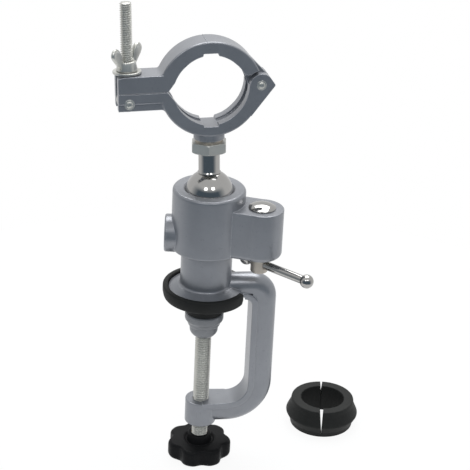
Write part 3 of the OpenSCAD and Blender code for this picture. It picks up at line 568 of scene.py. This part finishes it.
class RingTrimOp(bpy.types.Operator):
    """Cast the ring's small marks: a seam across its top and a bead along each side of the lower lug"""
    bl_idname = "vise.ring_trim"
    bl_label = "Ring trim"

    def execute(self, context):
        x_axis, y_axis, z_axis = ring_axes()
        pin = np.array(JOINTS["bolt_swing"]["pos_m"])
        # the middle of the closed ring, on its split
        along, above = 45.5 * MM, 5.7 * MM
        split = pin + along * x_axis + above * z_axis
        # seam: a low ridge over the upper half's round back, which leans a little to the lugs
        half, reach, ridge, width, lean = 8.2 * MM, 27.55 * MM, 0.25 * MM, 0.5 * MM, math.radians(4)
        seam = blade([(-half, 0), (half, 0), (half, ridge), (-half, ridge)], width)
        up = math.cos(lean) * z_axis - math.sin(lean) * x_axis
        seam = placed(seam, split + reach * up, y_axis, np.cross(up, y_axis), up)
        add_piece("ring_seam", [seam], "casting", "ring_top", [])
        # bead: a half-round line along the lug, where its faces step in
        bead, tip, run = 0.3 * MM, 0.1 * MM, 24.5 * MM
        length = np.array([[0.0], [bead], [run - bead], [run]])
        radius = np.array([[tip], [bead], [bead], [tip]])
        rod = round_grid(radius, length, circle(12))
        rod = capped(rod, rod[0].mean(0), rod[-1].mean(0))
        back, out, lift = 5.9 * MM, 8.9 * MM, 0.1 * MM
        starts = [pin - back * x_axis + side * out * y_axis + lift * z_axis for side in (-1, 1)]
        beads = [placed(rod, start, y_axis, z_axis, x_axis) for start in starts]
        add_piece("lug_bead", beads, "casting", "ring", [])
        return {"FINISHED"}


class KnobOp(bpy.types.Operator):
    """Mould the knob: shallow hollows between its lobes, soft edges and a collar"""
    bl_idname = "vise.knob"
    bl_label = "Knob"

    def execute(self, context):
        low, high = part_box("knob")
        centre = (low + high) / 2
        insert_low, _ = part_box("knob_insert")
        top, radius, dish = high.z - 3.2 * MM, sizes().knob_radius, 9.4 * MM
        collar, lip, sunk = 7.0 * MM, high.z + 0.5 * MM, top - 1.6 * MM
        under_bore, bore, well_floor = 4.9 * MM, 4.85 * MM, insert_low.z + 1 * MM
        base_share = 0.52
        profile = rounded([(under_bore, low.z + 1.4 * MM, 0), (radius * base_share, low.z, 1.5 * MM),
                           (radius, low.z, 3.0 * MM), (radius, top, 3.0 * MM),
                           (dish, top - 0.2 * MM, 1.0 * MM), (dish - 0.9 * MM, sunk, 0.8 * MM),
                           (collar + 0.5 * MM, sunk, 0.4 * MM), (collar, lip, 0.6 * MM),
                           (bore, lip, 0)], steps=9)
        turns = circle(280)
        r, z = profile[:, :1], profile[:, 1:]
        # hollows fade from the rim inwards, and are narrower than the lobes
        weight = np.clip((r - dish) / (radius - dish), 0, 1) ** 2
        narrow = 1.6
        wave = ((1 + np.cos(sizes().lobes * (turns + math.pi / 2))) / 2) ** narrow
        grid = round_grid(r - sizes().hollow * weight * wave, z, turns)
        well = round_grid(np.full((1, turns.size), bore), well_floor, turns)
        points, faces = capped(np.concatenate([grid, well]), [0, 0, profile[0, 1]], [0, 0, well_floor])
        add_piece("knob_grip", [(points + [centre.x, centre.y, 0], faces)], "knob_plastic", "screw", ["knob"])
        return {"FINISHED"}


class RubberOp(bpy.types.Operator):
    """Mould the rubber parts: the cup on the jaw and the loose reducing bush"""
    bl_idname = "vise.rubber"
    bl_label = "Rubber parts"

    def jaw_cup(self):
        """The cup: a rim carried round all but the arm's window, and a disc that closes it."""
        low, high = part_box("jaw_pad")
        outer, wall, floor, window = (high.y - low.y) / 2, 3.1 * MM, 2.5 * MM, 13.5 * MM
        inner = outer - wall
        rim = rounded([(inner, floor, 0), (inner, high.z, 1.0 * MM), (outer, high.z, 1.2 * MM),
                       (outer, 4 * MM, 0), (outer - 0.8 * MM, 0, 1.6 * MM), (inner, 0, 0)])
        gap = math.asin(window / (outer - wall / 2))
        turns = np.linspace(gap, TAU - gap, 160)[None, :]
        grid = round_grid(rim[:, :1] + 0 * turns, rim[:, 1:], turns)
        grid = np.concatenate([grid, grid[:1]])
        disc_r = inner - 0.1 * MM
        disc = lathe([(0, floor), (disc_r, floor), (disc_r, 0), (0, 0)])
        add_piece("jaw_cup", [sheet_of(grid), *end_walls(grid), disc], "rubber", "clamp", ["jaw_pad"])

    def bush(self):
        """The bush: a banded profile carried round in two halves, between a front and a back slit."""
        low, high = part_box("reducing_bush")
        centre = (low + high) / 2
        height = high.z - low.z + 0.7 * MM
        bore, end, band, rib = (v * MM for v in (13.4, 19.4, 19.9, 22.6))
        profile = rounded([(bore, height / 2, 0), (bore, 0, 0.5 * MM), (end, 0, 0.8 * MM),
                           (band, 3.2 * MM, 0.5 * MM), (rib, height / 2 - 0.6 * MM, 0.9 * MM),
                           (band, height - 3.4 * MM, 0.7 * MM), (end, height, 0.7 * MM),
                           (bore, height, 0.7 * MM), (bore, height / 2, 0)])
        r, z = profile[:, :1], profile[:, 1:]
        share = z / height
        # each slit is widest at the top and closes at its own share of the height; the front one leans
        front_end_share, back_end_share, shut = 0.08, 0.35, 0.01
        slits = ((sizes().slit, front_end_share), (sizes().back_slit, back_end_share))
        widths = [width / 2 * np.clip((share - end_share) / (1 - end_share), shut, 1)
                  for width, end_share in slits]
        front_foot, front_lean, back_turn = -99.1, 3.4, 82.0
        front, back = np.radians(front_foot - front_lean * share), np.radians(back_turn)
        parts = []
        for start, stop, first, last in ((front, back, *widths), (back, front + TAU, *widths[::-1])):
            start, stop = start + np.arcsin(first / r), stop - np.arcsin(last / r)
            turns = start + (stop - start) * np.linspace(0, 1, 110)[None, :]
            grid = round_grid(r + 0 * turns, z, turns)
            parts.extend([sheet_of(grid), *end_walls(grid)])
        parts = [(points + [centre.x, centre.y, low.z], faces) for points, faces in parts]
        add_piece("bush_moulded", parts, "rubber", "bush", ["reducing_bush"])

    def foot_cap(self):
        """The foot's cap: a tapered wall, and a face with two rings of shallow groove."""
        low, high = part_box("foot_cap")
        radius = (high.x - low.x) / 2 - 0.3 * MM
        low.z = -sizes().cap_foot
        face, groove, edge = radius - 2.2 * MM, 0.5 * MM, 0.3 * MM
        ring_shares = ((0.92, 0), (0.88, 1), (0.80, 1), (0.76, 0), (0.52, 0), (0.48, 1), (0.40, 1), (0.36, 0))
        rings = [(face * share, high.z - drop * groove, edge) for share, drop in ring_shares]
        profile = rounded([(0, low.z, 0), (radius - 0.3 * MM, low.z, 0.5 * MM), (radius, high.z, 1.3 * MM),
                           *rings, (0, high.z, 0)])
        add_piece("foot_cap_moulded", [lathe(profile)], "rubber", "foot", ["foot_cap"])

    def foot(self):
        """The foot under its cap: a flange, a taper, a short body and a round nose, with a bore."""
        low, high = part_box("screw_foot")
        radius, top = (high.x - low.x) / 2, -sizes().cap_foot
        bore, end, tenon, inset, depth = 4.85 * MM, low.z + 0.6 * MM, 7 * MM, 1.5 * MM, 3 * MM
        profile = rounded([(0, top + inset, 0), (tenon, top + inset, 0), (tenon, top, 0),
                           (radius - 0.5 * MM, top, 0.4 * MM), (radius, top - 0.7 * MM, 0.4 * MM),
                           (radius, top - 4.6 * MM, 0.8 * MM), (9.7 * MM, top - 6.4 * MM, 0.8 * MM),
                           (9.5 * MM, top - 8.2 * MM, 0.5 * MM), (8.5 * MM, top - 9.0 * MM, 0.5 * MM),
                           (8.3 * MM, end + 2.6 * MM, 1.6 * MM), (6.2 * MM, end, 1.0 * MM),
                           (bore, end, 0.3 * MM), (bore, top - depth, 0), (0, top - depth, 0)],
                          steps=7)
        add_piece("foot_turned", [lathe(profile)], "foot_metal", "foot", ["screw_foot"])

    def execute(self, context):
        self.jaw_cup()
        self.foot_cap()
        self.foot()
        self.bush()
        return {"FINISHED"}


# Stage

# the camera is fitted to the photograph; its roll is in degrees, and its lens and sensor in millimetres
CAMERA_PLACE = (-0.12556, -0.89344, 0.47617)
CAMERA_AIM = (0.01598, 0, 0.03913)
CAMERA_ROLL = 2.825
CAMERA_LENS = 133.3
SENSOR_WIDTH = 36
LAMP_AIM = (0, 0, 0.05)
# name, place, width in metres and power in watts
LAMPS = (
    ("ceiling", (0.1, 0.5, 1.2), 1.0, 17),
    ("front_left", (-0.5, -0.9, 0.9), 0.3, 1.6),
    ("front_right", (0.25, -1.0, 1.0), 0.3, 1.8),
)
FLOOR_RADIUS = 0.34
FLOOR_GREY = 0.9
FLOOR_ROUGH = 0.9
WHITE_SHARE = 0.93
BACKDROP = (0.85, 0.85, 0.85)
DARK_ROOM = (0.12, 0.16, 0.20)
PLAIN_ROOM = (0.38, 0.42, 0.46)
WHITE = (1, 1, 1)


class StageOp(bpy.types.Operator):
    """Set the floor, the lamps, the world and the camera"""
    bl_idname = "vise.stage"
    bl_label = "Stage"

    def floor(self):
        """A round floor under the piece, which the camera sees as white with a faint shadow."""
        low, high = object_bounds()
        middle = [(low[0] + high[0]) / 2, (low[1] + high[1]) / 2, 0]
        level = low[2] - 0.2 * MM
        points, faces = lathe([(0, level), (FLOOR_RADIUS, level)])
        mesh = bpy.data.meshes.new("floor")
        mesh.from_pydata((points + middle).tolist(), [], faces.tolist())
        obj = bpy.data.objects.new("floor", mesh)
        bpy.context.scene.collection.objects.link(obj)
        mat = bpy.data.materials.new("floor")
        mat.use_nodes = True
        bsdf = mat.node_tree.nodes["Principled BSDF"]
        bsdf.inputs["Base Color"].default_value = (FLOOR_GREY, FLOOR_GREY, FLOOR_GREY, 1)
        bsdf.inputs["Roughness"].default_value = FLOOR_ROUGH
        obj.data.materials.append(mat)
        # the white is for looks only, so it isn't sampled as a lamp
        mat.cycles.emission_sampling = "NONE"
        self.show_white(mat.node_tree, bsdf.outputs[0], WHITE_SHARE)
        obj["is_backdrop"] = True

    def show_white(self, tree, shader, share):
        """Mixes plain white into what the camera sees, and keeps the shadow in the rest."""
        white = tree.nodes.new("ShaderNodeEmission")
        mix = tree.nodes.new("ShaderNodeMixShader")
        tree.links.new(maths(tree, "MULTIPLY", self.seen_rays(tree), share), mix.inputs["Fac"])
        tree.links.new(shader, mix.inputs[1])
        tree.links.new(white.outputs[0], mix.inputs[2])
        tree.links.new(mix.outputs[0], tree.nodes["Material Output"].inputs["Surface"])

    def seen_rays(self, tree):
        """One for camera, glossy and transmission rays, which are to see the white."""
        path = tree.nodes.new("ShaderNodeLightPath")
        mirror = maths(tree, "MAXIMUM", path.outputs["Is Glossy Ray"], path.outputs["Is Transmission Ray"])
        return maths(tree, "MAXIMUM", path.outputs["Is Camera Ray"], mirror)

    def world(self):
        """White for the camera; for gloss, a white backdrop and ceiling and a dark front; else grey."""
        world = bpy.data.worlds.new("studio")
        bpy.context.scene.world = world
        world.use_nodes = True
        tree = world.node_tree
        back = tree.nodes["Background"]
        path = tree.nodes.new("ShaderNodeLightPath")
        split = tree.nodes.new("ShaderNodeSeparateXYZ")
        tree.links.new(tree.nodes.new("ShaderNodeTexCoord").outputs["Generated"], split.inputs[0])
        # how far a direction points to the front, a little to the left, and under the ceiling
        left_share, front_gain, front_lift, under_gain, under_lift = -0.25, 1.5, 0.05, -3.5, 2.3
        ahead = maths(tree, "MULTIPLY", split.outputs["Y"], -1.0)
        front = maths(tree, "MULTIPLY_ADD", split.outputs["X"], left_share, ahead)
        front = maths(tree, "MULTIPLY_ADD", front, front_gain, front_lift)
        under = maths(tree, "MULTIPLY_ADD", split.outputs["Z"], under_gain, under_lift)
        for part in (front, under):
            part.node.use_clamp = True
        room = mix_colours(tree, maths(tree, "MULTIPLY", front, under), BACKDROP, DARK_ROOM)
        glossy = mix_colours(tree, path.outputs["Is Glossy Ray"], PLAIN_ROOM, room)
        seen = mix_colours(tree, path.outputs["Is Camera Ray"], glossy, WHITE)
        tree.links.new(seen, back.inputs["Color"])

    def lamp(self, name, place, size, power):
        """A square lamp that is turned to the lamps' common aim."""
        data = bpy.data.lights.new(name, "AREA")
        data.size = size
        data.energy = power
        obj = bpy.data.objects.new(name, data)
        obj.location = place
        obj.rotation_euler = (Vector(LAMP_AIM) - Vector(place)).to_track_quat("-Z", "Y").to_euler()
        bpy.context.scene.collection.objects.link(obj)

    def camera(self):
        """Looks from the place, and with the roll and lens, that the photograph was taken with."""
        data = bpy.data.cameras.new("camera")
        data.sensor_width = SENSOR_WIDTH
        data.lens = CAMERA_LENS
        place, roll = Vector(CAMERA_PLACE), math.radians(CAMERA_ROLL)
        ahead = (Vector(CAMERA_AIM) - place).normalized()
        level = ahead.cross(Vector((0, 0, 1))).normalized()
        upright = level.cross(ahead)
        c, s = math.cos(roll), math.sin(roll)
        right, up = c * level + s * upright, c * upright - s * level
        turn = Matrix((right, up, -ahead)).transposed()
        obj = bpy.data.objects.new("camera", data)
        obj.matrix_world = Matrix.Translation(place) @ turn.to_4x4()
        bpy.context.scene.collection.objects.link(obj)
        bpy.context.scene.camera = obj

    def execute(self, context):
        self.floor()
        self.world()
        for lamp in LAMPS:
            self.lamp(*lamp)
        self.camera()
        context.scene.view_settings.view_transform = "Standard"
        return {"FINISHED"}


PIECE_OPS = (MaterialsOp, ScrewOp, BoltOp, WingNutOp, PinsOp, RingTrimOp, KnobOp, RubberOp, StageOp)


class VisePanel(bpy.types.Panel):
    """Sizes and colours of the looks, and a button for each group of pieces"""
    bl_idname = "VISE_PT_looks"
    bl_label = "Vise"
    bl_space_type = "VIEW_3D"
    bl_region_type = "UI"
    bl_category = "Vise"

    def draw(self, context):
        for group in (context.scene.vise_sizes, context.scene.vise_colours):
            for name in group.__annotations__:
                self.layout.prop(group, name)
        for op in PIECE_OPS:
            self.layout.operator(op.bl_idname)


CLASSES = (ViseSizes, ViseColours, *PIECE_OPS, VisePanel)


def register():
    for cls in CLASSES:
        bpy.utils.register_class(cls)
    bpy.types.Scene.vise_sizes = PointerProperty(type=ViseSizes)
    bpy.types.Scene.vise_colours = PointerProperty(type=ViseColours)


def unregister():
    del bpy.types.Scene.vise_sizes
    del bpy.types.Scene.vise_colours
    for cls in reversed(CLASSES):
        bpy.utils.unregister_class(cls)


def main():
    register()
    for op in PIECE_OPS:
        group, name = op.bl_idname.split(".")
        getattr(getattr(bpy.ops, group), name)()


if __name__ == "__main__":
    main()
